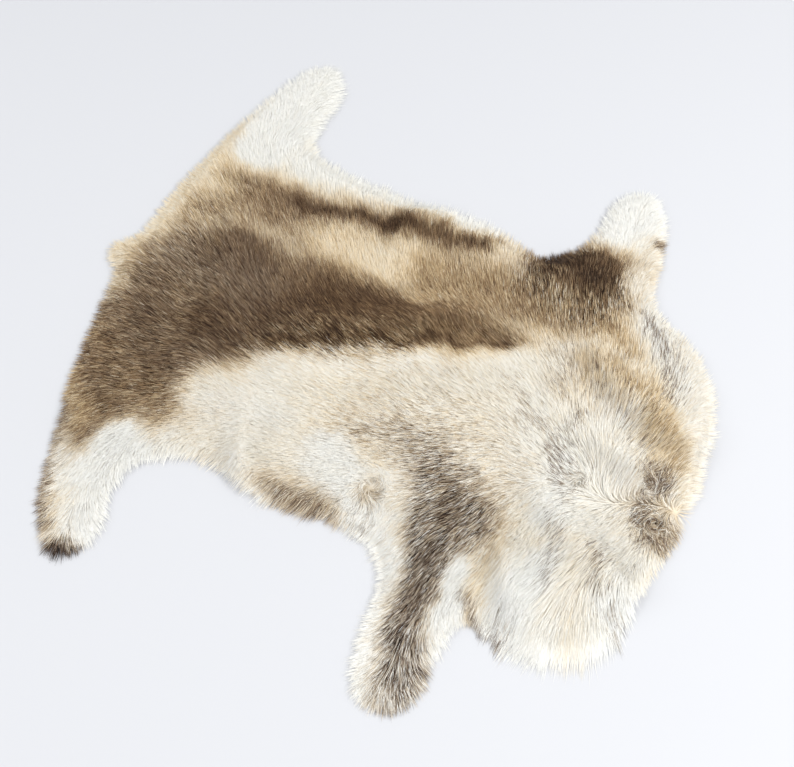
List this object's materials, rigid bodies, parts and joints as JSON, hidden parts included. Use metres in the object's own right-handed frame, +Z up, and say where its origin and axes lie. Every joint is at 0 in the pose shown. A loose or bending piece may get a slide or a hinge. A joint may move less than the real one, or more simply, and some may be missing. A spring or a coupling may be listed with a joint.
{
  "type": "reindeer hide",
  "caption": "Reindeer hide laid out flat hair side up: one tanned skin with its deep pile, leg flaps, short tail and softly waved surface, for use as a throw or rug.",
  "frame": {"origin": "middle of the hide's box, on the surface that it lies on", "axes": "+X along the back towards the neck, +Y across towards the far leg flaps, +Z up"},
  "size_m": [1.3339, 1.2541, 0.0701],
  "materials": {
    "coat": "deep matt fur, brown along the back, cream to white at the belly, rump and neck",
    "skin": "pale suede-like tanned skin"
  },
  "bodies": {
    "root": {"hide": "coat"}
  },
  "joints": []
}
